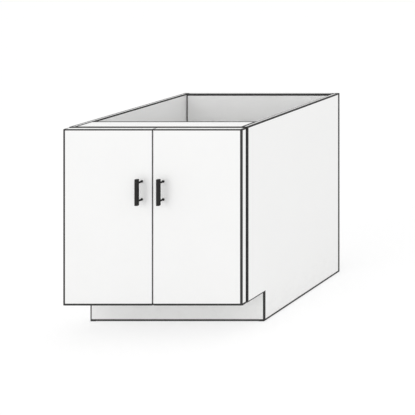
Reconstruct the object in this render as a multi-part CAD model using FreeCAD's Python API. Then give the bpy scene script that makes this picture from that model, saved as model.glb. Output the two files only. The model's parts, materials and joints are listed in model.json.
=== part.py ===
import FreeCAD, Part
import math
import os

# Sink base cabinet with two full-overlay doors and no top, in millimetres.
# X runs across the front, Y from the front to the wall, Z up from the floor.
# The origin is on the floor, below the centre of the whole object's box.

Vec = FreeCAD.Vector

# Cabinet box
cabinet_width = 762.0           # across the outer faces of the two sides
cabinet_height = 876.0          # floor to the top edges, which carry the worktop
box_depth = 610.0               # front edges of the sides to the wall
side_thickness = 25.0
bottom_thickness = 19.0
back_thickness = 19.0
rail_thickness = 25.0
rail_depth = 90.0
toe_board_thickness = 19.0
toe_space_height = 127.0
toe_space_depth = 100.0
arris = 2.0                     # chamfer on every edge that shows

# Doors
door_thickness = 25.0
door_gap = 3.0                  # air between the doors and the box
door_side_reveal = 1.5
door_top_reveal = 2.0
meeting_gap = 3.0               # between the two doors
bumper_radius = 4.0
bumper_inset = 10.0
bumper_round = 1.8              # rounding of the dome's rim
bumper_clearance = 0.4

# Pulls
pull_length = 112.0
pull_width = 14.0
pull_bar = 10.0                 # thickness of the bar
pull_reach = 30.0               # from the door's face to the front of the bar
pull_round = 2.5                # rounding of the bar's edges
pull_post_radius = 4.0
pull_foot_radius = 5.5          # where a post stands on the door
pull_foot_height = 2.0
pull_foot_round = 1.2
pull_screw_spacing = 76.2
pull_below_top = 259.0          # door's top edge to the pull's middle
pull_inset = 44.0               # door's meeting edge to the pull's middle
pull_screw_radius = 2.0
pull_screw_bite = 12.0
pull_screw_hole_radius = 2.5
screw_head_radius = 4.2
screw_head_height = 2.4
screw_head_round = 1.2

# Dowels and screws of the box
dowel_radius = 4.0
dowel_play = 0.05
dowel_in_side = 13.0
dowel_in_board = 21.0
dowel_end_play = 1.0
dowel_edge = 40.0               # first dowel of a row from the board's edge
rail_dowel_edge = 22.5
toe_dowel_edge = 32.0
long_row = 4                    # dowels in a long row
short_row = 2
drive_radius = 1.4              # recess in every screw head
drive_depth = 1.2
back_screw_radius = 2.25
back_screw_length = 50.0
back_screw_head = 4.5
back_screw_count = 5
back_screw_edge = 60.0
worktop_hole_radius = 2.5
worktop_hole_spacing = 500.0

# Hinges, in the frame of one hinge
hinge_edge = 100.0              # door's top or bottom edge to a hinge's middle
cup_radius = 17.5
cup_edge = 5.0                  # door's outer edge to the cup
cup_depth = 12.5
cup_wall = 0.8
cup_screw_radius = 1.75
cup_screw_head = 3.2
cup_head_height = 1.8
cup_screw_bite = 11.0
cup_screw_offset = 9.5
cup_screw_spread = 48.0
flange_thickness = 1.2
flange_lip = 1.5                # how far the flange's rim stands out past the cup
flange_cut = 9.5                # cup's middle to the flange's straight outer edge
ear_radius = 7.5                # the flange's two ears, round the cup's screws
cup_pin_outer = (16.5, -3.5)    # outer link's pin in the cup
cup_pin_inner = (21.5, -3.5)
arm_pin_outer = (52.0, 17.0)    # outer link's pin in the arm
arm_pin_inner = (55.5, 4.0)
outer_crank = (28.5, -1.5)
inner_crank = (37.0, 3.5)
pin_radius = 1.5
pin_play = 0.05
eye_radius = 3.2
link_radius = 1.5               # half the thickness of a link's bar
eye_wall = 1.3
open_eye_radius = 3.7           # the one pivot that is left open
lug_radius = 2.4
inner_high = 4.6                # half heights of the nested links and flanks
nose_low = 5.0
nose_high = 6.2
outer_low = 6.6
outer_high = 8.0
web_from = 0.47                 # shares of the outer link's long run
web_to = 0.61
web_half = 0.8
arm_mid = 29.5
arm_half = 3.5
arm_top = 33.0
arm_wall = 1.5
arm_bend = 30.0
arm_rear = 74.0
arm_screw_radius = 2.0
arm_screw_head = 3.6
arm_screw_bite = 5.0
arm_screw_end = 9.0
arm_slot_play = 0.2
plate_thickness = 2.0
plate_front = 24.0
plate_half = 9.0
rail_half = 4.6
wing_radius = 7.0
plate_screw_setback = 37.0      # front edge of the side to the plate's screws
plate_screw_spread = 32.0
plate_screw_radius = 2.5
plate_screw_bite = 12.0

# Working values
overshoot = 1.0                 # how far a cutter runs past what it cuts
tiny = 1e-6                     # two lengths this close are the same

half_width = cabinet_width / 2
inner_half = half_width - side_thickness
overall_depth = pull_reach + door_thickness + door_gap + box_depth
back_y = overall_depth / 2
box_front = back_y - box_depth
back_front = back_y - back_thickness
door_back = box_front - door_gap
door_front = door_back - door_thickness
toe_y = box_front + toe_space_depth
floor_top = toe_space_height + bottom_thickness
rail_bottom = cabinet_height - rail_thickness
rail_rear = box_front + rail_depth
door_top = cabinet_height - door_top_reveal
door_bottom = toe_space_height
door_edge_x = half_width - door_side_reveal
door_meet_x = meeting_gap / 2
pull_x = door_meet_x + pull_inset
pull_z = door_top - pull_below_top
cup_x = cup_edge + cup_radius
side_x = side_thickness - door_side_reveal


def block(x, y, z):
    """A box between the low and high ends of x, y and z."""
    size = (x[1] - x[0], y[1] - y[0], z[1] - z[0])
    return Part.makeBox(*size, Vec(x[0], y[0], z[0]))


def rod(radius, start, end):
    """A round bar between two points."""
    run = end - start
    return Part.makeCylinder(radius, run.Length, start, run)


def ease(shape, wanted):
    """Chamfer the edges that pass the test."""
    return shape.makeChamfer(arris, [e for e in shape.Edges if wanted(e)])


def near(a, b):
    return abs(a - b) < tiny


def mirrored(shape):
    return shape.mirror(Vec(0, 0, 0), Vec(1, 0, 0))


def save(name, shape):
    shape.exportStep("parts/" + name + ".step")


# ------------------------------------------------------------------ box boards
def row(low, high, count, inset):
    """Evenly spaced places between two ends, the first and last set in."""
    step = (high - low - 2 * inset) / (count - 1)
    return [low + inset + i * step for i in range(count)]


def dowel_rows():
    """The y and z of each dowel, for each board that stands between the sides."""
    bottom_z = floor_top - bottom_thickness / 2
    rail_z = cabinet_height - rail_thickness / 2
    back_mid = back_front + back_thickness / 2
    toe_mid = toe_y + toe_board_thickness / 2
    return {
        "bottom_panel": [(y, bottom_z) for y in row(box_front, back_front, long_row, dowel_edge)],
        "front_top_rail": [(y, rail_z) for y in row(box_front, rail_rear, short_row, rail_dowel_edge)],
        "back_panel": [(back_mid, z) for z in
                       row(toe_space_height, cabinet_height, long_row, dowel_edge)],
        "toe_board": [(toe_mid, z) for z in row(0, toe_space_height, short_row, toe_dowel_edge)],
    }


def dowel_rod(place, radius, side_end, board_end):
    """A round bar along X across the right side's inner face."""
    y, z = place
    return rod(radius, Vec(inner_half - board_end, y, z), Vec(inner_half + side_end, y, z))


def dowel_bores(places):
    bores = [dowel_rod(p, dowel_radius + dowel_play, dowel_in_side, dowel_in_board) for p in places]
    right = Part.makeCompound(bores)
    return Part.makeCompound([right, mirrored(right)])


def dowels():
    bars = []
    board_end = dowel_in_board - dowel_end_play
    for places in dowel_rows().values():
        bars += [dowel_rod(p, dowel_radius, dowel_in_side, board_end) for p in places]
    right = Part.makeCompound(bars)
    return Part.makeCompound([right, mirrored(right)])


def side_panel():
    """The right side: a board with a toe notch at its front bottom corner."""
    outline = [
        (toe_y, 0),
        (back_y, 0),
        (back_y, cabinet_height),
        (box_front, cabinet_height),
        (box_front, toe_space_height),
        (toe_y, toe_space_height),
    ]
    corners = [Vec(inner_half, y, z) for y, z in outline]
    face = Part.Face(Part.makePolygon(corners + corners[:1]))
    panel = face.extrude(Vec(side_thickness, 0, 0))

    def shows(edge):
        ends = [v.Point for v in edge.Vertexes]
        outer = all(near(p.x, half_width) for p in ends)
        inner = all(near(p.x, inner_half) for p in ends)
        top = all(near(p.z, cabinet_height) for p in ends)
        front = all(near(p.y, box_front) for p in ends)
        return outer or (inner and (top or front))

    panel = ease(panel, shows)
    for places in dowel_rows().values():
        panel = panel.cut(dowel_bores(places))
    for z in hinge_heights():
        for w in (-plate_screw_spread / 2, plate_screw_spread / 2):
            start = Vec(inner_half, box_front + plate_screw_setback, z + w)
            panel = panel.cut(rod(plate_screw_radius, start, start + Vec(plate_screw_bite, 0, 0)))
    return panel


def long_edge(edge, y=None, z=None):
    """Whether an edge runs along X at the given y and z."""
    a, b = [v.Point for v in edge.Vertexes]
    level = near(a.y, b.y) and near(a.z, b.z)
    return level and (y is None or near(a.y, y)) and (z is None or near(a.z, z))


def bottom_panel():
    panel = block((-inner_half, inner_half), (box_front, back_front), (toe_space_height, floor_top))
    panel = ease(panel, lambda e: long_edge(e, y=box_front))
    panel = panel.cut(dowel_bores(dowel_rows()["bottom_panel"]))
    return panel.cut(Part.makeCompound(back_screws(False)))


def front_top_rail():
    rail = block((-inner_half, inner_half), (box_front, rail_rear), (rail_bottom, cabinet_height))
    rail = ease(rail, long_edge)
    for x in (-worktop_hole_spacing / 2, worktop_hole_spacing / 2):
        foot = Vec(x, box_front + rail_depth / 2, rail_bottom)
        rail = rail.cut(rod(worktop_hole_radius, foot, foot + Vec(0, 0, rail_thickness)))
    return rail.cut(dowel_bores(dowel_rows()["front_top_rail"]))


def back_panel():
    panel = block((-inner_half, inner_half), (back_front, back_y), (toe_space_height, cabinet_height))
    panel = ease(panel, lambda e: long_edge(e, z=cabinet_height))
    panel = panel.cut(dowel_bores(dowel_rows()["back_panel"]))
    return panel.cut(Part.makeCompound(back_screws(False)))


def toe_board():
    board = block((-inner_half, inner_half), (toe_y, toe_y + toe_board_thickness), (0, toe_space_height))
    board = ease(board, lambda e: long_edge(e, z=0))
    return board.cut(dowel_bores(dowel_rows()["toe_board"]))


def back_screws(driven=True):
    """Countersunk screws through the back into the bottom panel's rear edge."""
    screws = []
    z = floor_top - bottom_thickness / 2
    for x in row(-inner_half, inner_half, back_screw_count, back_screw_edge):
        head = Vec(x, back_y, z)
        shank = rod(back_screw_radius, head, head - Vec(0, back_screw_length, 0))
        depth = back_screw_head - back_screw_radius
        cone = Part.makeCone(back_screw_head, back_screw_radius, depth, head, Vec(0, -1, 0))
        screw = shank.fuse(cone).removeSplitter()
        if driven:
            drive = rod(drive_radius, head, head - Vec(0, drive_depth, 0))
            screw = screw.cut(drive)
        screws.append(screw)
    return screws


# ----------------------------------------------------------------------- doors
def left_door():
    x = (-door_edge_x, -door_meet_x)
    door = block(x, (door_front, door_back), (door_bottom, door_top))
    door = ease(door, lambda e: True)
    for z in hinge_heights():
        door = door.cut(at_hinge(cup_bore(), z))
    for z in pull_screw_heights():
        start = Vec(-pull_x, door_front, z)
        door = door.cut(rod(pull_screw_hole_radius, start, start + Vec(0, door_thickness, 0)))
    return door


def pull_screw_heights():
    return [pull_z - pull_screw_spacing / 2, pull_z + pull_screw_spacing / 2]


def left_pull():
    """A solid bar with rounded edges on two round posts."""
    front = door_front - pull_reach
    x = (-pull_x - pull_width / 2, -pull_x + pull_width / 2)
    bar = block(x, (front, front + pull_bar), (pull_z - pull_length / 2, pull_z + pull_length / 2))
    pull = bar.makeFillet(pull_round, bar.Edges)
    for z in pull_screw_heights():
        pull = pull.fuse(pull_post(z))
    pull = pull.removeSplitter()
    for z in pull_screw_heights():
        start = Vec(-pull_x, door_front, z)
        pull = pull.cut(rod(pull_screw_radius, start, start - Vec(0, pull_screw_bite, 0)))
    return pull


def pull_post(z):
    """A post from the middle of the bar to its wider foot on the door."""
    seat = Vec(-pull_x, door_front, z)
    post_end = seat - Vec(0, pull_reach - pull_bar / 2, 0)
    foot = rod(pull_foot_radius, seat, seat - Vec(0, pull_foot_height, 0))
    rim = [e for e in foot.Edges if all(near(v.Y, door_front - pull_foot_height) for v in e.Vertexes)]
    foot = foot.makeFillet(pull_foot_round, rim)
    return foot.fuse(rod(pull_post_radius, seat, post_end))


def left_pull_screws():
    screws = []
    for z in pull_screw_heights():
        seat = Vec(-pull_x, door_back, z)
        shank = rod(pull_screw_radius, seat, seat - Vec(0, door_thickness + pull_screw_bite, 0))
        head = rod(screw_head_radius, seat, seat + Vec(0, screw_head_height, 0))
        crown = door_back + screw_head_height
        rim = [e for e in head.Edges if all(near(v.Y, crown) for v in e.Vertexes)]
        head = head.makeFillet(screw_head_round, rim)
        drive = rod(drive_radius, seat + Vec(0, screw_head_height, 0),
                    seat + Vec(0, screw_head_height - drive_depth, 0))
        screws.append(head.fuse(shank).removeSplitter().cut(drive))
    return Part.makeCompound(screws)


def left_bumpers():
    """Soft domes on the door's back, over the rail and over the bottom panel."""
    domes = []
    height = door_gap - bumper_clearance
    for z in (rail_bottom + rail_thickness / 2, floor_top - bottom_thickness / 2):
        foot = Vec(-door_meet_x - bumper_inset, door_back, z)
        dome = rod(bumper_radius, foot, foot + Vec(0, height, 0))
        rim = [e for e in dome.Edges if all(near(v.Y, door_back + height) for v in e.Vertexes)]
        domes.append(dome.makeFillet(bumper_round, rim))
    return Part.makeCompound(domes)


# ---------------------------------------------------------------------- hinges
# A hinge is drawn in its own frame: X from the door's outer edge inwards, Y
# from the door's back face into the box, Z up from the hinge's middle.
def hinge_heights():
    return [door_bottom + hinge_edge, door_top - hinge_edge]


def at_hinge(shape, z):
    """A left hinge's piece at the height z."""
    placed = shape.copy()
    placed.translate(Vec(-door_edge_x, door_back, z))
    return placed


def both_ways(shape):
    """A piece and its mirror image above and below the hinge's middle."""
    return [shape, shape.mirror(Vec(0, 0, 0), Vec(0, 0, 1))]


def capsule(a, b, radius, low, high):
    """A plate with round ends between two points, from low to high."""
    start, end = Vec(a[0], a[1], low), Vec(b[0], b[1], low)
    along = (end - start).normalize()
    aside = Vec(-along.y, along.x, 0) * radius
    ahead = along * radius
    edges = [
        Part.LineSegment(start + aside, end + aside).toShape(),
        Part.Arc(end + aside, end + ahead, end - aside).toShape(),
        Part.LineSegment(end - aside, start - aside).toShape(),
        Part.Arc(start - aside, start - ahead, start + aside).toShape(),
    ]
    return Part.Face(Part.Wire(edges)).extrude(Vec(0, 0, high - low))


def strap(points, radius, low, high):
    """A cranked plate along a line of points."""
    runs = [capsule(a, b, radius, low, high) for a, b in zip(points, points[1:])]
    return runs[0].multiFuse(runs[1:]).removeSplitter()


def post(place, radius, low, high):
    """A round bar along Z."""
    return rod(radius, Vec(place[0], place[1], low), Vec(place[0], place[1], high))


def cup_bore():
    """What the door loses to one hinge cup and its two screws."""
    bore = rod(cup_radius, Vec(cup_x, -cup_depth, 0), Vec(cup_x, overshoot, 0))
    pilots = [rod(cup_screw_radius, Vec(x, overshoot, z), Vec(x, -cup_screw_bite, z))
              for x, z in cup_screw_places()]
    return bore.multiFuse(pilots)


def cup_screw_places():
    x = cup_x + cup_screw_offset
    return [(x, -cup_screw_spread / 2), (x, cup_screw_spread / 2)]


def hinge_cup():
    """A pressed bowl with an eared flange, and two lugs for the inner link's pin."""
    shell = rod(cup_radius, Vec(cup_x, -cup_depth, 0), Vec(cup_x, 0, 0))
    hollow = rod(cup_radius - cup_wall, Vec(cup_x, cup_wall - cup_depth, 0),
                 Vec(cup_x, flange_thickness + overshoot, 0))
    cup = shell.fuse(cup_flange()).cut(hollow)
    foot_y = cup_wall / 2 - cup_depth
    foot = (cup_pin_inner[0], foot_y + lug_radius)
    lugs = both_ways(strap([foot, cup_pin_inner], lug_radius, nose_low, nose_high))
    cup = cup.multiFuse(lugs).removeSplitter()
    for pin in cup_pins():
        cup = cup.cut(pin)
    for x, z in cup_screw_places():
        top = flange_thickness + overshoot
        cup = cup.cut(rod(cup_screw_radius, Vec(x, -overshoot, z), Vec(x, top, z)))
    return cup


def cup_flange():
    """A rim round the cup, cut straight where the links swing out, with two ears."""
    rim_radius = cup_radius + flange_lip
    rim = rod(rim_radius, Vec(cup_x, 0, 0), Vec(cup_x, flange_thickness, 0))
    kept = block((cup_x - flange_cut, cup_x + rim_radius), (0, flange_thickness),
                 (-rim_radius, rim_radius))
    reach = cup_screw_spread / 2
    ears = capsule((-reach, 0), (reach, 0), ear_radius, 0, flange_thickness)
    ears.rotate(Vec(0, 0, 0), Vec(0, 0, 1), 90)
    ears.rotate(Vec(0, 0, 0), Vec(1, 0, 0), -90)
    ears.translate(Vec(cup_x + cup_screw_offset, 0, 0))
    return rim.common(kept).fuse(ears).removeSplitter()


def cup_pins():
    """Two stubs for the outer link and one short pin for the inner link."""
    offset = abs(cup_pin_outer[0] - cup_x) + pin_radius
    wall = math.sqrt((cup_radius - cup_wall / 2) ** 2 - offset ** 2)
    stubs = both_ways(post(cup_pin_outer, pin_radius, outer_low, wall))
    return stubs + [post(cup_pin_inner, pin_radius, -nose_high, nose_high)]


def cup_screws():
    screws = []
    for x, z in cup_screw_places():
        seat = Vec(x, flange_thickness, z)
        shank = rod(cup_screw_radius, seat, Vec(x, -cup_screw_bite, z))
        head = rod(cup_screw_head, seat, seat + Vec(0, cup_head_height, 0))
        screw = shank.fuse(head).removeSplitter()
        top = seat + Vec(0, cup_head_height, 0)
        screws.append(screw.cut(rod(drive_radius, top, top - Vec(0, drive_depth, 0))))
    return screws


def outer_link():
    """Two cranked cheeks outside the arm, joined by a web near the arm's pin."""
    path = [cup_pin_outer, outer_crank, arm_pin_outer]
    cheek = strap(path, link_radius, outer_low, outer_high)
    for pin in (cup_pin_outer, arm_pin_outer):
        cheek = cheek.fuse(post(pin, eye_radius, outer_low, outer_high))
        cheek = cheek.cut(post(pin, pin_radius + pin_play, outer_low, outer_high))
    cheeks = both_ways(cheek.removeSplitter())
    web = capsule(along(outer_crank, arm_pin_outer, web_from), along(outer_crank, arm_pin_outer, web_to),
                  web_half, -outer_high, outer_high)
    return cheeks[0].multiFuse([cheeks[1], web]).removeSplitter()


def along(a, b, share):
    """The point a share of the way from a to b."""
    return (a[0] + (b[0] - a[0]) * share, a[1] + (b[1] - a[1]) * share)


def inner_link():
    """A cranked bar in the middle; its eye in the cup is wide of the pin."""
    path = [cup_pin_inner, inner_crank, arm_pin_inner]
    link = strap(path, link_radius, -inner_high, inner_high)
    link = link.fuse(post(cup_pin_inner, open_eye_radius + eye_wall, -inner_high, inner_high))
    link = link.fuse(post(arm_pin_inner, eye_radius, -inner_high, inner_high)).removeSplitter()
    link = link.cut(post(cup_pin_inner, open_eye_radius, -inner_high, inner_high))
    return link.cut(post(arm_pin_inner, pin_radius + pin_play, -inner_high, inner_high))


def arm_outline(low, high):
    """The arm's flank: a straight channel that cranks inwards to its nose."""
    neck = strap([(arm_mid, arm_rear), (arm_mid, arm_bend), arm_pin_outer], arm_half, low, high)
    nose = capsule(arm_pin_outer, arm_pin_inner, eye_radius, low, high)
    return neck.fuse(nose).removeSplitter()


def hinge_arm():
    """Two flanks and the web over the mounting plate, slotted for its rear screw."""
    flanks = both_ways(arm_outline(nose_low, nose_high))
    web = block((arm_top - arm_wall, arm_top), (arm_bend, arm_rear), (-nose_high, nose_high))
    arm = flanks[0].multiFuse([flanks[1], web]).removeSplitter()
    for pin in arm_pins():
        arm = arm.cut(pin)
    web_x = (arm_top - arm_wall - overshoot, arm_top + overshoot)
    front, rear = arm_screw_places()
    arm = arm.cut(rod(arm_screw_radius, Vec(web_x[0], front, 0), Vec(web_x[1], front, 0)))
    slot_half = arm_screw_radius + arm_slot_play
    arm = arm.cut(rod(slot_half, Vec(web_x[0], rear, 0), Vec(web_x[1], rear, 0)))
    return arm.cut(block(web_x, (rear, arm_rear + overshoot), (-slot_half, slot_half)))


def arm_pins():
    return [
        post(arm_pin_outer, pin_radius, -outer_high, outer_high),
        post(arm_pin_inner, pin_radius, -nose_high, nose_high),
    ]


def arm_screw_places():
    return [arm_bend + arm_screw_end, arm_rear - arm_screw_end]


def arm_screws(driven=True):
    """One screw sets the overlay, the other clamps the arm to its plate."""
    screws = []
    for y in arm_screw_places():
        seat = Vec(arm_top, y, 0)
        shank = rod(arm_screw_radius, seat, seat - Vec(arm_screw_bite, 0, 0))
        head = rod(arm_screw_head, seat, seat + Vec(cup_head_height, 0, 0))
        top = seat + Vec(cup_head_height, 0, 0)
        screw = shank.fuse(head).removeSplitter()
        if driven:
            screw = screw.cut(rod(drive_radius, top, top - Vec(drive_depth, 0, 0)))
        screws.append(screw)
    return screws


def mounting_plate():
    """A winged plate on the side panel with a raised rail under the arm."""
    mid = door_gap + plate_screw_setback
    base = block((side_x, side_x + plate_thickness), (plate_front, arm_rear), (-plate_half, plate_half))
    wings = capsule_wings(mid)
    rail = block((side_x, arm_top - arm_wall), (plate_front, arm_rear), (-rail_half, rail_half))
    plate = base.multiFuse([wings, rail]).removeSplitter()
    for screw in plate_screws(False) + arm_screws(False):
        plate = plate.cut(screw)
    return plate


def capsule_wings(mid):
    """The two wings that take the screws, as one round-ended tongue."""
    reach = plate_screw_spread / 2
    tongue = capsule((-reach, mid), (reach, mid), wing_radius, 0, plate_thickness)
    tongue.rotate(Vec(0, 0, 0), Vec(0, 1, 0), -90)
    tongue.translate(Vec(side_x + plate_thickness, 0, 0))
    return tongue


def plate_screws(driven=True):
    """Countersunk screws through the wings into the side panel."""
    screws = []
    for z in (-plate_screw_spread / 2, plate_screw_spread / 2):
        head = Vec(side_x + plate_thickness, door_gap + plate_screw_setback, z)
        tip = Vec(side_x - plate_screw_bite, head.y, z)
        depth = plate_thickness
        cone = Part.makeCone(plate_screw_radius + depth, plate_screw_radius, depth, head, Vec(-1, 0, 0))
        screw = rod(plate_screw_radius, head, tip).fuse(cone).removeSplitter()
        if driven:
            screw = screw.cut(rod(drive_radius, head, head - Vec(drive_depth, 0, 0)))
        screws.append(screw)
    return screws


def at_hinges(pieces):
    """A list of pieces at both heights of the left door, as one group."""
    return Part.makeCompound([at_hinge(p, z) for z in hinge_heights() for p in pieces])


# ------------------------------------------------------------------------ save
def save_pair(name, left_shape):
    """Save a left piece and its mirror image."""
    save("left_" + name, left_shape)
    save("right_" + name, mirrored(left_shape))


os.makedirs("parts", exist_ok=True)

save("right_side_panel", side_panel())
save("left_side_panel", mirrored(side_panel()))
save("bottom_panel", bottom_panel())
save("front_top_rail", front_top_rail())
save("back_panel", back_panel())
save("toe_board", toe_board())
save("carcass_dowels", dowels())
save("back_screws", Part.makeCompound(back_screws()))

save_pair("door", left_door())
save_pair("pull", left_pull())
save_pair("pull_screws", left_pull_screws())
save_pair("door_bumpers", left_bumpers())
save_pair("cup_pins", at_hinges(cup_pins()))
save_pair("cup_screws", at_hinges(cup_screws()))
save_pair("arm_pins", at_hinges(arm_pins()))
save_pair("arm_screws", at_hinges(arm_screws()))
save_pair("plate_screws", at_hinges(plate_screws()))

for level, height in zip(("lower", "upper"), hinge_heights()):
    save_pair(level + "_hinge_cup", at_hinge(hinge_cup(), height))
    save_pair(level + "_hinge_arm", at_hinge(hinge_arm(), height))
    save_pair(level + "_mounting_plate", at_hinge(mounting_plate(), height))
    save_pair(level + "_outer_link", at_hinge(outer_link(), height))
    save_pair(level + "_inner_link", at_hinge(inner_link(), height))
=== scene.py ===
import json
import math

import bpy
from mathutils import Matrix, Vector

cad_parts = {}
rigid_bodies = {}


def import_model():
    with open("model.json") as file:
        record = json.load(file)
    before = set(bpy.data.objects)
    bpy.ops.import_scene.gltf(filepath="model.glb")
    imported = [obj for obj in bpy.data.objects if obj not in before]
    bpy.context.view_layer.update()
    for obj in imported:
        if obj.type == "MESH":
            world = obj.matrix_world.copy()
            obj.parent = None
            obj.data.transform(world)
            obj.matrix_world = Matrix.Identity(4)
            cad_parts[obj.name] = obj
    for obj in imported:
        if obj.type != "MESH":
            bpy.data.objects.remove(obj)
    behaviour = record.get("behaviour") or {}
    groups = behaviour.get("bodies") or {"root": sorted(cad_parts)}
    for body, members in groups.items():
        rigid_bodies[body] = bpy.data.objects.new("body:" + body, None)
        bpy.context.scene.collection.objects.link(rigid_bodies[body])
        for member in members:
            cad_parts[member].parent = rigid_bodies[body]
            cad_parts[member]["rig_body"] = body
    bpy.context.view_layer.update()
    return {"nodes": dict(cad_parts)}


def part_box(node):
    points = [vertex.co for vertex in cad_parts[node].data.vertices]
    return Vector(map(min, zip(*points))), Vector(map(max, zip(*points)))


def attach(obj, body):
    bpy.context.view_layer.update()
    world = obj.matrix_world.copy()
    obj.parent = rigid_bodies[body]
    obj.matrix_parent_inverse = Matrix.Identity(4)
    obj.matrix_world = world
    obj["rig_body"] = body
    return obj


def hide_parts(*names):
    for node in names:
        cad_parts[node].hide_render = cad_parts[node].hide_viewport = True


# A white sink base cabinet with black pulls on a plain pale floor.
# Lengths are in metres. X runs across the front, Y towards the wall, Z up.

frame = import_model()
nodes = frame["nodes"]
x_axis, y_axis = 0, 1

# Camera
eye_place = Vector((3.3443, -4.2678, 1.9664))
depth_line = Vector((-0.78507, 1.0, -0.35915))  # runs from the eye through the picture's middle
picture_distance = 2.2584                       # from the eye to the picture, in picture widths
sensor_width = 36.0                             # mm
nearest_seen, farthest_seen = 0.1, 200.0

# Light
cabinet_middle = Vector((0, 0, 0.4))
key_place, key_strength = Vector((-2.2, -3.4, 2.4)), 20.0
fill_place, fill_strength = Vector((3.6, -2.2, 1.8)), 12.0
lamp_size = 3.0
sky_strength = 0.96

# Floor
floor_half = 30.0
floor_drop = 0.0004                             # keeps it clear of the boards that stand on it
floor_colour = (0.86, 0.86, 0.86, 1)            # as it lights the cabinet
floor_seen = (0.42, 0.42, 0.42, 1)              # as the camera sees it, together with the glow
floor_glow = 0.60

# Dark line that the boards' core shows along their arrises
core_line = 0.0060
top_line = 0.0075                               # on the box's level top faces
meeting_line = 0.0020                           # where the two doors meet
outer_extra = 0.0035                            # added beside arrises that mostly show one face
rear_extra = 0.0070                             # added at the rear arrises of the sides and rail
notch_cut = 0.0020                              # taken off outer_extra again in the toe notch
door_edge_cut = 0.0030                          # taken off on the doors' narrow sides, at the front
no_line = -1.0                                  # taken off where boards lie flush
core_line_blur = 0.0004
level_depth = 0.0002                            # a point this near a board's top is on it

# Finishes: a grain is the size of one bump
laminate_grain = 0.0011
coat_grain = 0.0005
nickel_grain = 0.0040
zinc_grain = 0.0015
bumper_grain = 0.0008
beech_stretch = (60, 900, 900)                  # grain lines per metre along and across a dowel
pressed_rounding = 0.0003                       # radius of the pressed steel's edges
dust_reach = 0.2                                # height above the floor
dust_share = 0.10                               # how much of the dust's colour shows

# Screws: radius of the shank and height of the head
back_screw = (0.00225, 0.00225)
pull_screw = (0.0020, 0.0024)
cup_screw = (0.00175, 0.0018)
arm_screw = (0.0020, 0.0018)
plate_screw = (0.0025, 0.0020)
thread_core = 0.72                              # share of the shank's radius under the thread
thread_pitch = 0.0016
thread_steps = 16                               # in one turn
thread_sides = 4
drive_arm = 0.55                                # reach of the cross, in head radii
drive_slot = 0.0009                             # width of the cross
drive_depth = 0.6                               # depth of the cross, in head heights
head_segments, head_rings = 40, 16
shank_segments = 20
smooth_angle = math.radians(35)                 # sharper edges stay crisp
places_apart = 0.005                            # screws of one node stand further apart than this


# ------------------------------------------------------------------ node helpers
def supply(tree, socket, value):
    """Give a socket a plain value, or link it to the output that feeds it."""
    if isinstance(value, bpy.types.NodeSocket):
        tree.links.new(value, socket)
    else:
        socket.default_value = value


def put(tree, kind, inputs=None, **settings):
    """Add a node. Its inputs are given by name, or by number, as where names repeat."""
    node = tree.nodes.new(kind)
    for name, value in settings.items():
        setattr(node, name, value)
    for name, value in (inputs or {}).items():
        supply(tree, node.inputs[name], value)
    return node


def feed(tree, node, **inputs):
    """Supply a node's inputs; underscores in the names stand for spaces."""
    for name, value in inputs.items():
        supply(tree, node.inputs[name.replace("_", " ")], value)


def calc(tree, operation, a, b=0.0):
    return put(tree, "ShaderNodeMath", {0: a, 1: b}, operation=operation).outputs[0]


def smallest(tree, first, *others):
    for other in others:
        first = calc(tree, "MINIMUM", first, other)
    return first


def apart(tree, vector):
    """A vector's X, Y and Z."""
    return put(tree, "ShaderNodeSeparateXYZ", {0: vector}).outputs


def ramp(tree, value, low, high, at_low, at_high):
    """A soft step from one value to another."""
    node = put(tree, "ShaderNodeMapRange", {"Value": value, "From Min": low, "From Max": high,
               "To Min": at_low, "To Max": at_high}, interpolation_type="SMOOTHSTEP")
    return node.outputs["Result"]


def spread(tree, noise, at_low, at_high):
    """A value that follows a noise over most of its range."""
    return ramp(tree, noise, 0.3, 0.7, at_low, at_high)


def mix_value(tree, share, a, b):
    return put(tree, "ShaderNodeMix", {0: share, 2: a, 3: b}, data_type="FLOAT").outputs[0]


def mix_colour(tree, share, a, b):
    return put(tree, "ShaderNodeMix", {0: share, 6: a, 7: b}, data_type="RGBA").outputs[2]


def bumped(tree, height, strength, distance, base=None):
    """The normal of a surface that a height makes uneven, on top of a base normal."""
    node = put(tree, "ShaderNodeBump", {"Height": height, "Strength": strength,
                                        "Distance": distance})
    if base:
        supply(tree, node.inputs["Normal"], base)
    return node.outputs[0]


def place_on_piece(tree):
    return put(tree, "ShaderNodeTexCoord").outputs["Object"]


def group(name, inputs, outputs):
    """A shader group with named sockets, and the sockets of its two end nodes."""
    made = bpy.data.node_groups.new(name, "ShaderNodeTree")
    for label, kind, value in inputs:
        socket = made.interface.new_socket(label, in_out="INPUT", socket_type="NodeSocket" + kind)
        socket.default_value = value
    for label, kind in outputs:
        made.interface.new_socket(label, in_out="OUTPUT", socket_type="NodeSocket" + kind)
    enter = made.nodes.new("NodeGroupInput").outputs
    leave = made.nodes.new("NodeGroupOutput").inputs
    return made, enter, leave


def use(tree, made, **inputs):
    """Place a shader group and give its outputs."""
    node = put(tree, "ShaderNodeGroup", node_tree=made)
    feed(tree, node, **inputs)
    return node.outputs


def material(name):
    made = bpy.data.materials.new(name)
    made.use_nodes = True
    tree = made.node_tree
    return made, tree, tree.nodes["Principled BSDF"]


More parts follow.
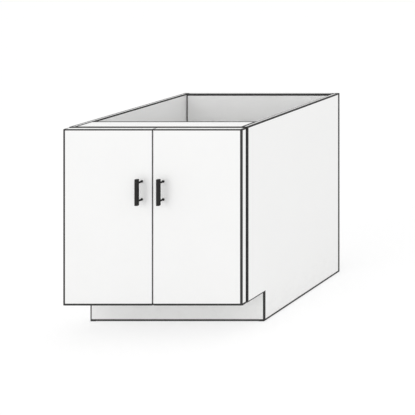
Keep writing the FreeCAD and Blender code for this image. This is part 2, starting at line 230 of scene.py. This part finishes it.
# ---------------------------------------------------------------- shared effects
def make_core_line():
    """A mask of the lines along a board's arrises, round a notch if it has one.
    In the notch, the line at either end is wider by the value for that end."""
    made, enter, leave = group("core_line", [
        ("Low", "Vector", (0, 0, 0)),
        ("High", "Vector", (1, 1, 1)),
        ("Notch Y", "Float", -9.0),
        ("Notch Z", "Float", -9.0),
        ("Wider Low", "Float", 0.0),
        ("Wider High", "Float", 0.0),
        ("Top Width", "Float", core_line),
        ("Width", "Float", core_line),
        ("Blur", "Float", core_line_blur),
    ], [("Mask", "Float")])
    here = place_on_piece(made)
    above = put(made, "ShaderNodeVectorMath", {0: here, 1: enter["Low"]}, operation="SUBTRACT")
    below = put(made, "ShaderNodeVectorMath", {0: enter["High"], 1: here}, operation="SUBTRACT")
    from_low = apart(made, above.outputs[0])
    from_high = apart(made, below.outputs[0])
    place = apart(made, here)

    past_y = calc(made, "SUBTRACT", place["Y"], enter["Notch Y"])
    past_z = calc(made, "SUBTRACT", place["Z"], enter["Notch Z"])
    notch = calc(made, "MAXIMUM", past_y, past_z)
    in_notch = calc(made, "LESS_THAN", notch, enter["Blur"])
    low_part = calc(made, "MULTIPLY", in_notch, enter["Wider Low"])
    high_part = calc(made, "MULTIPLY", in_notch, enter["Wider High"])
    left_end = calc(made, "SUBTRACT", from_low["X"], low_part)
    right_end = calc(made, "SUBTRACT", from_high["X"], high_part)
    outline = smallest(made, from_low["Y"], from_high["Y"], from_low["Z"], from_high["Z"], notch)
    flat = calc(made, "MAXIMUM", smallest(made, left_end, right_end), outline)

    def beside_notch(past, other_past, low, high):
        """The distance to the nearer face, where the notch moves the low one."""
        below_notch = calc(made, "LESS_THAN", other_past, -core_line_blur)
        return smallest(made, mix_value(made, below_notch, low, past), high)

    across_y = beside_notch(past_y, past_z, from_low["Y"], from_high["Y"])
    across_z = beside_notch(past_z, past_y, from_low["Z"], from_high["Z"])
    corner = calc(made, "MAXIMUM", across_y, across_z)

    on_top = calc(made, "LESS_THAN", from_high["Z"], level_depth)
    width = mix_value(made, on_top, enter["Width"], enter["Top Width"])
    inner = calc(made, "SUBTRACT", width, enter["Blur"])
    mask = ramp(made, smallest(made, flat, corner), inner, width, 1.0, 0.0)
    made.links.new(mask, leave["Mask"])
    return made


def make_fine_peel():
    """The fine pearled surface of a finish, as a height, and its wide faint clouding."""
    made, enter, leave = group("fine_peel", [
        ("Grain Size", "Float", 0.001),
    ], [("Height", "Float"), ("Cloud", "Float")])
    here = place_on_piece(made)
    per_metre = calc(made, "DIVIDE", 1.0, enter["Grain Size"])
    grain = put(made, "ShaderNodeTexNoise", {"Vector": here, "Scale": per_metre, "Detail": 2.0})
    cloud = put(made, "ShaderNodeTexNoise", {"Vector": here, "Scale": 6.0, "Detail": 4.0,
                                             "Roughness": 0.6})
    made.links.new(grain.outputs[0], leave["Height"])
    made.links.new(cloud.outputs[0], leave["Cloud"])
    return made


def make_floor_dust():
    """A mask of the faint dust and scuffs near the floor."""
    made, enter, leave = group("floor_dust", [
        ("Reach", "Float", dust_reach),
    ], [("Mask", "Float")])
    here = place_on_piece(made)
    low_down = ramp(made, apart(made, here)["Z"], 0.0, enter["Reach"], 1.0, 0.0)
    patches = put(made, "ShaderNodeTexNoise", {"Vector": here, "Scale": 26.0, "Detail": 6.0,
                                               "Roughness": 0.7})
    speckled = ramp(made, patches.outputs[0], 0.42, 0.72, 0.0, 1.0)
    made.links.new(calc(made, "MULTIPLY", low_down, speckled), leave["Mask"])
    return made


core_line_group = make_core_line()
fine_peel_group = make_fine_peel()
floor_dust_group = make_floor_dust()


# -------------------------------------------------------------------- materials
white, white_clouded = (0.895, 0.895, 0.89, 1), (0.92, 0.92, 0.915, 1)
core_dark = (0.016, 0.015, 0.015, 1)
core_roughness = 0.6
dust_grey = (0.55, 0.54, 0.52, 1)
coat_black, coat_clouded = (0.010, 0.0095, 0.0095, 1), (0.017, 0.016, 0.016, 1)
nickel_dull, nickel_bright = (0.66, 0.64, 0.61, 1), (0.72, 0.70, 0.67, 1)
zinc_dull, zinc_bright = (0.62, 0.63, 0.65, 1), (0.74, 0.75, 0.76, 1)
bumper_clear, bumper_milky = (0.78, 0.79, 0.78, 1), (0.86, 0.86, 0.84, 1)
beech_dark, beech_light = (0.56, 0.37, 0.21, 1), (0.76, 0.57, 0.38, 1)


def laminate(node, notch=None, wider_low=(0, 0, 0), wider_high=(0, 0, 0), in_notch=(0, 0),
             top=core_line):
    """White satin laminate whose dark core shows along the arrises of one board.
    The line is wider beside the board's low and high ends by the values for them, and
    in the notch by those for its two ends; a value below 0 makes it narrower. top is its
    width on the top face."""
    low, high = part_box(node)
    notch_y, notch_z = notch or (low.y - 1, low.z - 1)
    low += Vector(wider_low)
    high -= Vector(wider_high)
    made, tree, shader = material(node + "_laminate")
    line = use(tree, core_line_group, Low=low, High=high, Notch_Y=notch_y, Notch_Z=notch_z,
               Wider_Low=in_notch[0], Wider_High=in_notch[1], Top_Width=top)["Mask"]
    peel = use(tree, fine_peel_group, Grain_Size=laminate_grain)
    dust = use(tree, floor_dust_group)["Mask"]
    face = mix_colour(tree, peel["Cloud"], white, white_clouded)
    face = mix_colour(tree, calc(tree, "MULTIPLY", dust, dust_share), face, dust_grey)
    colour = mix_colour(tree, line, face, core_dark)
    satin = spread(tree, peel["Cloud"], 0.34, 0.44)
    rough = calc(tree, "MAXIMUM", satin, calc(tree, "MULTIPLY", line, core_roughness))
    feed(tree, shader, Base_Color=colour, Roughness=rough,
         Normal=bumped(tree, peel["Height"], strength=0.25, distance=0.00006))
    return made


def powder_coat():
    """Matt black paint with a fine grain."""
    made, tree, shader = material("black_powder_coat")
    peel = use(tree, fine_peel_group, Grain_Size=coat_grain)
    feed(tree, shader, Base_Color=mix_colour(tree, peel["Cloud"], coat_black, coat_clouded),
         Roughness=spread(tree, peel["Height"], 0.42, 0.56),
         Normal=bumped(tree, peel["Height"], strength=0.4, distance=0.00008),
         Specular_IOR_Level=0.2)
    return made


def plated_steel(name, dull, bright, grain_size):
    """Pressed steel with a bright plating."""
    made, tree, shader = material(name)
    peel = use(tree, fine_peel_group, Grain_Size=grain_size)
    rounded = put(tree, "ShaderNodeBevel", {"Radius": pressed_rounding}, samples=4).outputs[0]
    feed(tree, shader, Base_Color=mix_colour(tree, peel["Height"], dull, bright), Metallic=1.0,
         Roughness=spread(tree, peel["Height"], 0.24, 0.4),
         Normal=bumped(tree, peel["Height"], strength=0.15, distance=0.00003, base=rounded))
    return made


def soft_bumper():
    """Clear soft plastic."""
    made, tree, shader = material("clear_bumper")
    peel = use(tree, fine_peel_group, Grain_Size=bumper_grain)
    feed(tree, shader, Base_Color=mix_colour(tree, peel["Cloud"], bumper_clear, bumper_milky),
         Roughness=spread(tree, peel["Height"], 0.25, 0.35), Transmission_Weight=0.5, IOR=1.41)
    return made


def beech():
    """Unfinished beech with its grain along the dowels."""
    made, tree, shader = material("beech")
    along = put(tree, "ShaderNodeMapping", {"Vector": place_on_piece(tree), "Scale": beech_stretch})
    grain = put(tree, "ShaderNodeTexNoise", {"Vector": along.outputs[0], "Scale": 1.0,
                                             "Detail": 5.0}).outputs[0]
    feed(tree, shader, Base_Color=mix_colour(tree, grain, beech_dark, beech_light), Roughness=0.7,
         Normal=bumped(tree, grain, strength=0.3, distance=0.0001))
    return made


def paint(names, finish):
    for name in names:
        nodes[name].data.materials.clear()
        nodes[name].data.materials.append(finish)


def ending(*ends):
    return [name for name in nodes if name.endswith(ends)]


def low_and_high(side, outer, inner):
    """The values for a board's low and high X end, from those for its outer and inner end."""
    return (outer, inner) if side == "left" else (inner, outer)


toe_corner = (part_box("toe_board")[0].y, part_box("bottom_panel")[0].z)
paint(["bottom_panel"], laminate("bottom_panel"))
paint(["back_panel"], laminate("back_panel", wider_high=(0, 0, outer_extra), top=top_line))
paint(["front_top_rail"], laminate("front_top_rail", wider_high=(0, rear_extra, 0), top=top_line))
paint(["toe_board"], laminate("toe_board", wider_low=(no_line, 0, outer_extra),
                              wider_high=(no_line, 0, 0)))
for side in ("left", "right"):
    panel = side + "_side_panel"
    low_extra, high_extra = low_and_high(side, outer_extra, 0)
    paint([panel], laminate(panel, toe_corner, wider_low=(low_extra, 0, outer_extra),
                            wider_high=(high_extra, rear_extra, 0),
                            in_notch=low_and_high(side, -notch_cut, no_line), top=top_line))
    door = side + "_door"
    low_extra, high_extra = low_and_high(side, outer_extra, meeting_line - core_line)
    paint([door], laminate(door, wider_low=(low_extra, -door_edge_cut, outer_extra),
                           wider_high=(high_extra, 0, 0)))
nickel = plated_steel("nickel_plate", nickel_dull, nickel_bright, nickel_grain)
zinc = plated_steel("zinc_plate", zinc_dull, zinc_bright, zinc_grain)
paint(ending("_pull"), powder_coat())
paint(ending("_hinge_cup", "_hinge_arm", "_mounting_plate", "_link"), nickel)
paint(ending("_screws", "_pins"), zinc)
paint(ending("_bumpers"), soft_bumper())
paint(["carcass_dowels"], beech())


# ----------------------------------------------------------------------- screws
def screw_tree():
    """One screw, its crown up at the origin, repeated at every point of a mesh."""
    tree = bpy.data.node_groups.new("screws", "GeometryNodeTree")
    tree.interface.new_socket("Places", in_out="INPUT", socket_type="NodeSocketGeometry")
    for label in ("Head Radius", "Head Height", "Shank Radius", "Length"):
        tree.interface.new_socket(label, in_out="INPUT", socket_type="NodeSocketFloat")
    tree.interface.new_socket("Countersunk", in_out="INPUT", socket_type="NodeSocketBool")
    tree.interface.new_socket("Axis", in_out="INPUT", socket_type="NodeSocketVector")
    tree.interface.new_socket("Finish", in_out="INPUT", socket_type="NodeSocketMaterial")
    tree.interface.new_socket("Screws", in_out="OUTPUT", socket_type="NodeSocketGeometry")
    enter = tree.nodes.new("NodeGroupInput").outputs
    leave = tree.nodes.new("NodeGroupOutput").inputs

    def vector(x=0.0, y=0.0, z=0.0):
        return put(tree, "ShaderNodeCombineXYZ", {0: x, 1: y, 2: z}).outputs[0]

    def lowered(geometry, depth, scale=(1, 1, 1)):
        down = vector(z=calc(tree, "MULTIPLY", depth, -1.0))
        return put(tree, "GeometryNodeTransform", {"Geometry": geometry, "Translation": down,
                                                   "Scale": scale}).outputs[0]

    radius, height = enter["Head Radius"], enter["Head Height"]
    core = calc(tree, "MULTIPLY", enter["Shank Radius"], thread_core)
    run = calc(tree, "SUBTRACT", enter["Length"], height)

    # a dome, or a cone whose wide end is the crown
    ball = put(tree, "GeometryNodeMeshUVSphere", {"Segments": head_segments, "Rings": head_rings,
                                                  "Radius": 1.0})
    place = apart(tree, put(tree, "GeometryNodeInputPosition").outputs[0])
    lifted = vector(place["X"], place["Y"], calc(tree, "MAXIMUM", place["Z"], 0.0))
    dome = put(tree, "GeometryNodeSetPosition", {"Geometry": ball.outputs[0], "Position": lifted})
    dome = lowered(dome.outputs[0], height, vector(radius, radius, height))
    cone = put(tree, "GeometryNodeMeshCone", {"Vertices": head_segments, "Radius Top": radius,
                                              "Radius Bottom": core, "Depth": height})
    cone = lowered(cone.outputs[0], height)
    head = put(tree, "GeometryNodeSwitch", {"Switch": enter["Countersunk"], "False": dome,
                                            "True": cone}, input_type="GEOMETRY").outputs[0]

    # the cross is two bars, centred on the crown
    arm = calc(tree, "MULTIPLY", radius, 2 * drive_arm)
    depth = calc(tree, "MULTIPLY", height, 2 * drive_depth)
    recess = put(tree, "GeometryNodeMeshBoolean", {"Mesh 1": head}, operation="DIFFERENCE")
    for size in (vector(arm, drive_slot, depth), vector(drive_slot, arm, depth)):
        bar = put(tree, "GeometryNodeMeshCube", {"Size": size})
        tree.links.new(bar.outputs[0], recess.inputs["Mesh 2"])

    shank = put(tree, "GeometryNodeMeshCylinder", {"Vertices": shank_segments, "Radius": core,
                                                   "Depth": run})
    middle = calc(tree, "ADD", height, calc(tree, "MULTIPLY", run, 0.5))
    shank = lowered(shank.outputs[0], middle)

    turns = calc(tree, "DIVIDE", run, thread_pitch)
    spiral = put(tree, "GeometryNodeCurveSpiral", {"Resolution": thread_steps, "Rotations": turns,
                 "Start Radius": core, "End Radius": core, "Height": run})
    thread_height = calc(tree, "SUBTRACT", enter["Shank Radius"], core)
    ridge = put(tree, "GeometryNodeCurvePrimitiveCircle", {"Resolution": thread_sides,
                                                           "Radius": thread_height})
    thread = put(tree, "GeometryNodeCurveToMesh", {"Curve": spiral.outputs[0],
                 "Profile Curve": ridge.outputs[0], "Fill Caps": True})
    thread = lowered(thread.outputs[0], enter["Length"])

    screw = put(tree, "GeometryNodeJoinGeometry")
    for part in (recess.outputs[0], shank, thread):
        tree.links.new(part, screw.inputs[0])
    turn = put(tree, "FunctionNodeAlignRotationToVector", {"Vector": enter["Axis"]}, axis="Z")
    rows = put(tree, "GeometryNodeInstanceOnPoints", {"Points": enter["Places"],
               "Instance": screw.outputs[0], "Rotation": turn.outputs[0]})
    real = put(tree, "GeometryNodeRealizeInstances", {0: rows.outputs[0]})
    done = put(tree, "GeometryNodeSetMaterial", {"Geometry": real.outputs[0],
                                                 "Material": enter["Finish"]})
    tree.links.new(done.outputs[0], leave[0])
    return tree


def split_apart(points, axis):
    """Lists of points that lie apart from each other along one axis."""
    points = sorted(points, key=lambda p: p[axis])
    parts = [[points[0]]]
    for before, point in zip(points, points[1:]):
        if point[axis] - before[axis] > places_apart:
            parts.append([])
        parts[-1].append(point)
    return parts


def screw_boxes(node, axis):
    """The low and high corner of each screw of a node whose screws point along an axis."""
    parts = [[v.co for v in nodes[node].data.vertices]]
    for other in range(3):
        if other != axis:
            parts = [piece for part in parts for piece in split_apart(part, other)]
    return [(Vector(map(min, zip(*part))), Vector(map(max, zip(*part)))) for part in parts]


def screws(node, axis, way, kind, countersunk=False):
    """Replace a node's screws by screws with a cross in the head and a thread.
    way is 1 or -1, as their crowns look along the axis or against it."""
    crowns = []
    for low, high in screw_boxes(node, axis):
        crown = (low + high) / 2
        crown[axis] = high[axis] if way > 0 else low[axis]
        crowns.append(crown)
    across = (axis + 1) % 3
    direction = Vector((0, 0, 0))
    direction[axis] = way
    mesh = bpy.data.meshes.new(node)
    mesh.from_pydata(crowns, [], [])
    draft = bpy.data.objects.new(node + "_places", mesh)
    bpy.context.scene.collection.objects.link(draft)
    modifier = draft.modifiers.new("screws", "NODES")
    modifier.node_group = screw_group
    shank_radius, head_height = kind
    sizes = {
        "Head Radius": (high[across] - low[across]) / 2,
        "Head Height": head_height,
        "Shank Radius": shank_radius,
        "Length": high[axis] - low[axis],
        "Countersunk": countersunk,
        "Axis": direction,
        "Finish": zinc,
    }
    for item in screw_group.interface.items_tree:
        if item.in_out == "INPUT" and item.name in sizes:
            modifier[item.identifier] = sizes[item.name]
    evaluated = draft.evaluated_get(bpy.context.evaluated_depsgraph_get())
    made = bpy.data.meshes.new_from_object(evaluated)
    made.set_sharp_from_angle(angle=smooth_angle)
    piece = bpy.data.objects.new("threaded_" + node, made)
    bpy.context.scene.collection.objects.link(piece)
    bpy.data.objects.remove(draft)
    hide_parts(node)
    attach(piece, nodes[node]["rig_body"])


screw_group = screw_tree()
screws("back_screws", y_axis, 1, back_screw, countersunk=True)
for side, inwards in (("left", 1), ("right", -1)):
    screws(side + "_pull_screws", y_axis, 1, pull_screw)
    screws(side + "_cup_screws", y_axis, 1, cup_screw)
    screws(side + "_arm_screws", x_axis, inwards, arm_screw)
    screws(side + "_plate_screws", x_axis, inwards, plate_screw, countersunk=True)


# ----------------------------------------------------------- floor, light, camera
def seen_directly(tree):
    """1 for rays from the camera, and for those that gloss and glass send on."""
    path = put(tree, "ShaderNodeLightPath").outputs
    most = calc(tree, "MAXIMUM", path["Is Camera Ray"], path["Is Glossy Ray"])
    return calc(tree, "MAXIMUM", most, path["Is Transmission Ray"])


def floor():
    """A pale floor that looks white, with the cabinet's own soft shadow."""
    mesh = bpy.data.meshes.new("floor")
    corners = [(x * floor_half, y * floor_half, -floor_drop)
               for x, y in ((-1, -1), (1, -1), (1, 1), (-1, 1))]
    mesh.from_pydata(corners, [], [(0, 1, 2, 3)])
    plane = bpy.data.objects.new("floor", mesh)
    bpy.context.scene.collection.objects.link(plane)
    made, tree, shader = material("pale_floor")
    feed(tree, shader, Base_Color=floor_colour, Roughness=0.9, Specular_IOR_Level=0.0)
    matt = put(tree, "ShaderNodeBsdfDiffuse", {"Color": floor_seen})
    glow = put(tree, "ShaderNodeEmission", {"Color": (1, 1, 1, 1), "Strength": floor_glow})
    lifted = put(tree, "ShaderNodeAddShader", {0: matt.outputs[0], 1: glow.outputs[0]})
    either = put(tree, "ShaderNodeMixShader", {0: seen_directly(tree), 1: shader.outputs[0],
                                               2: lifted.outputs[0]})
    tree.links.new(either.outputs[0], tree.nodes["Material Output"].inputs["Surface"])
    mesh.materials.append(made)


def sky():
    """Even light from all round, which looks plain white itself."""
    world = bpy.data.worlds.new("studio")
    bpy.context.scene.world = world
    world.use_nodes = True
    tree = world.node_tree
    strength = mix_value(tree, seen_directly(tree), sky_strength, 1.0)
    feed(tree, tree.nodes["Background"], Color=(1, 1, 1, 1), Strength=strength)


def lamp(name, place, strength):
    """A large round soft lamp that looks at the cabinet."""
    data = bpy.data.lights.new(name, "AREA")
    data.shape = "DISK"
    data.size = lamp_size
    data.energy = strength
    lamp_object = bpy.data.objects.new(name, data)
    bpy.context.scene.collection.objects.link(lamp_object)
    lamp_object.location = place
    lamp_object.rotation_mode = "QUATERNION"
    lamp_object.rotation_quaternion = (cabinet_middle - place).to_track_quat("-Z", "Y")


def camera():
    """An eye whose picture stands parallel to the front, so that the front keeps its
    square corners while the sides recede, as in the drawing."""
    data = bpy.data.cameras.new("camera")
    data.sensor_width = sensor_width
    data.lens = picture_distance * depth_line.length * sensor_width
    data.clip_start, data.clip_end = nearest_seen, farthest_seen
    eye = bpy.data.objects.new("camera", data)
    stand = bpy.data.objects.new("camera_stand", None)
    for thing in (eye, stand):
        bpy.context.scene.collection.objects.link(thing)
    view = Matrix.Identity(4)
    view.col[0] = Vector((1, 0, 0, 0))
    view.col[1] = Vector((0, 0, 1, 0))
    view.col[2] = (-depth_line.normalized()).to_4d()
    view[3][2] = 0.0
    view.col[3] = eye_place.to_4d()
    eye.parent = stand
    eye.matrix_parent_inverse = view
    bpy.context.scene.camera = eye


floor()
sky()
lamp("key_light", key_place, key_strength)
lamp("fill_light", fill_place, fill_strength)
camera()
bpy.context.scene.view_settings.view_transform = "Standard"
